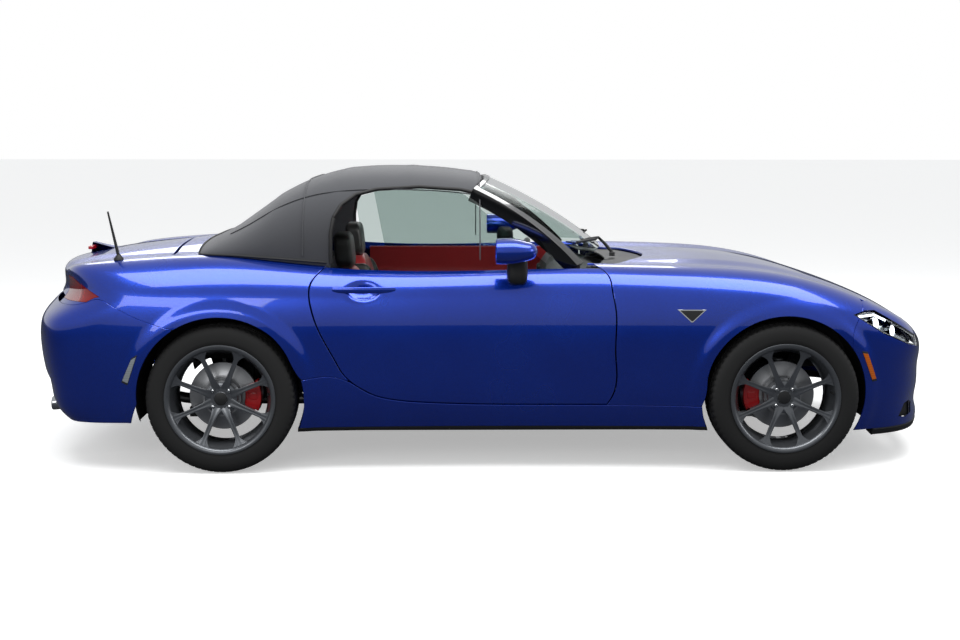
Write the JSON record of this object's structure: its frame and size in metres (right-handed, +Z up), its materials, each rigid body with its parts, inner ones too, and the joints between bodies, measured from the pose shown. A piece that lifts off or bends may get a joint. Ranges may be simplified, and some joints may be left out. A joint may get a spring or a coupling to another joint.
{
  "type": "convertible car",
  "caption": "Small open two-seat car with a long bonnet and a fabric top raised, doors, bonnet and boot lid on hinges, steered front wheels.",
  "frame": {"origin": "on the ground under the middle of the car's bounding box", "axes": "+X towards the nose, +Y to the car's left, +Z up"},
  "size_m": [3.9159, 1.9062, 1.2352],
  "materials": {
    "paint": "deep metallic blue under clear lacquer",
    "black_plastic": "grained black",
    "cabin_plastic": "soft black",
    "glass": "lightly tinted",
    "lamp_lens": "clear polycarbonate",
    "red_lens": "red lens",
    "fabric": "charcoal canvas",
    "leather": "black",
    "chassis": "black underbody coat",
    "caliper_paint": "red",
    "casting": "as cast",
    "steel": "plain",
    "tyre": "black rubber",
    "rim": "dark gunmetal",
    "disc": "turned faces"
  },
  "bodies": {
    "car": {"antenna": "black_plastic", "arch_liners": "black_plastic", "cowl": "black_plastic", "dashboard": "cabin_plastic", "driveline": "casting", "engine": "casting", "exhaust": "steel", "fender_left": "paint", "fender_right": "paint", "floor_tub": "chassis", "front_bumper": "paint", "front_subframe": "chassis", "grille": "black_plastic", "headlamps": "lamp_lens", "quarter_left": "paint", "quarter_right": "paint", "rear_bumper": "paint", "rear_calipers": "caliper_paint", "rear_deck": "paint", "rear_subframe": "chassis", "rear_window": "glass", "seat_left": "leather", "seat_right": "leather", "sills": "paint", "skirts": "black_plastic", "soft_top": "fabric", "splitter": "black_plastic", "tail_lamps": "red_lens", "windscreen": "glass", "windscreen_frame": "black_plastic", "wipers": "black_plastic"},
    "door_left": {"door_left": "paint", "door_glass_left": "glass", "mirror_left": "paint"},
    "door_right": {"door_right": "paint", "door_glass_right": "glass", "mirror_right": "paint"},
    "bonnet": {"bonnet": "paint"},
    "boot_lid": {"boot_lid": "paint", "stop_lamp": "red_lens"},
    "knuckle_left": {"knuckle_left": "chassis", "front_caliper_left": "caliper_paint"},
    "knuckle_right": {"knuckle_right": "chassis", "front_caliper_right": "caliper_paint"},
    "steering_wheel": {"steering_wheel": "cabin_plastic"},
    "wheel_front_left": {"tyre_front_left": "tyre", "rim_front_left": "rim", "disc_front_left": "disc"},
    "wheel_front_right": {"tyre_front_right": "tyre", "rim_front_right": "rim", "disc_front_right": "disc"},
    "wheel_rear_left": {"tyre_rear_left": "tyre", "rim_rear_left": "rim", "disc_rear_left": "disc"},
    "wheel_rear_right": {"tyre_rear_right": "tyre", "rim_rear_right": "rim", "disc_rear_right": "disc"}
  },
  "joints": [
    {"name": "door_left_hinge", "type": "hinge", "parent": "car", "child": "door_left", "pos_m": [0.473, 0.814, 0.52], "axis": [0, 0, -1], "range_deg": [0, 60]},
    {"name": "door_right_hinge", "type": "hinge", "parent": "car", "child": "door_right", "pos_m": [0.473, -0.814, 0.52], "axis": [0, 0, 1], "range_deg": [0, 60]},
    {"name": "bonnet_hinge", "type": "hinge", "parent": "car", "child": "bonnet", "pos_m": [0.4875, 0, 0.83088], "axis": [0, -1, 0], "range_deg": [0, 50]},
    {"name": "boot_hinge", "type": "hinge", "parent": "car", "child": "boot_lid", "pos_m": [-1.364, 0, 0.86142], "axis": [0, 1, 0], "range_deg": [0, 70]},
    {"name": "steer_left", "type": "hinge", "parent": "car", "child": "knuckle_left", "pos_m": [1.2285, 0.6815, 0.308], "axis": [0, 0, 1], "range_deg": [-33, 33]},
    {"name": "steer_right", "type": "hinge", "parent": "car", "child": "knuckle_right", "pos_m": [1.2285, -0.6815, 0.308], "axis": [0, 0, 1], "range_deg": [-33, 33]},
    {"name": "wheel_front_left_spin", "type": "hinge", "parent": "knuckle_left", "child": "wheel_front_left", "pos_m": [1.2285, 0.7475, 0.308], "axis": [0, 1, 0], "continuous": true},
    {"name": "wheel_front_right_spin", "type": "hinge", "parent": "knuckle_right", "child": "wheel_front_right", "pos_m": [1.2285, -0.7475, 0.308], "axis": [0, 1, 0], "continuous": true},
    {"name": "wheel_rear_left_spin", "type": "hinge", "parent": "car", "child": "wheel_rear_left", "pos_m": [-1.0815, 0.7525, 0.308], "axis": [0, 1, 0], "continuous": true},
    {"name": "wheel_rear_right_spin", "type": "hinge", "parent": "car", "child": "wheel_rear_right", "pos_m": [-1.0815, -0.7525, 0.308], "axis": [0, 1, 0], "continuous": true},
    {"name": "steering_wheel_turn", "type": "hinge", "parent": "car", "child": "steering_wheel", "pos_m": [0.17655, 0.336, 0.70581], "axis": [-0.9582, 0, 0.286], "range_deg": [-500, 500]}
  ],
  "couplings": [
    {"joint": "steer_right", "follows": "steer_left", "ratio": 1},
    {"joint": "steering_wheel_turn", "follows": "steer_left", "ratio": 15.152}
  ]
}
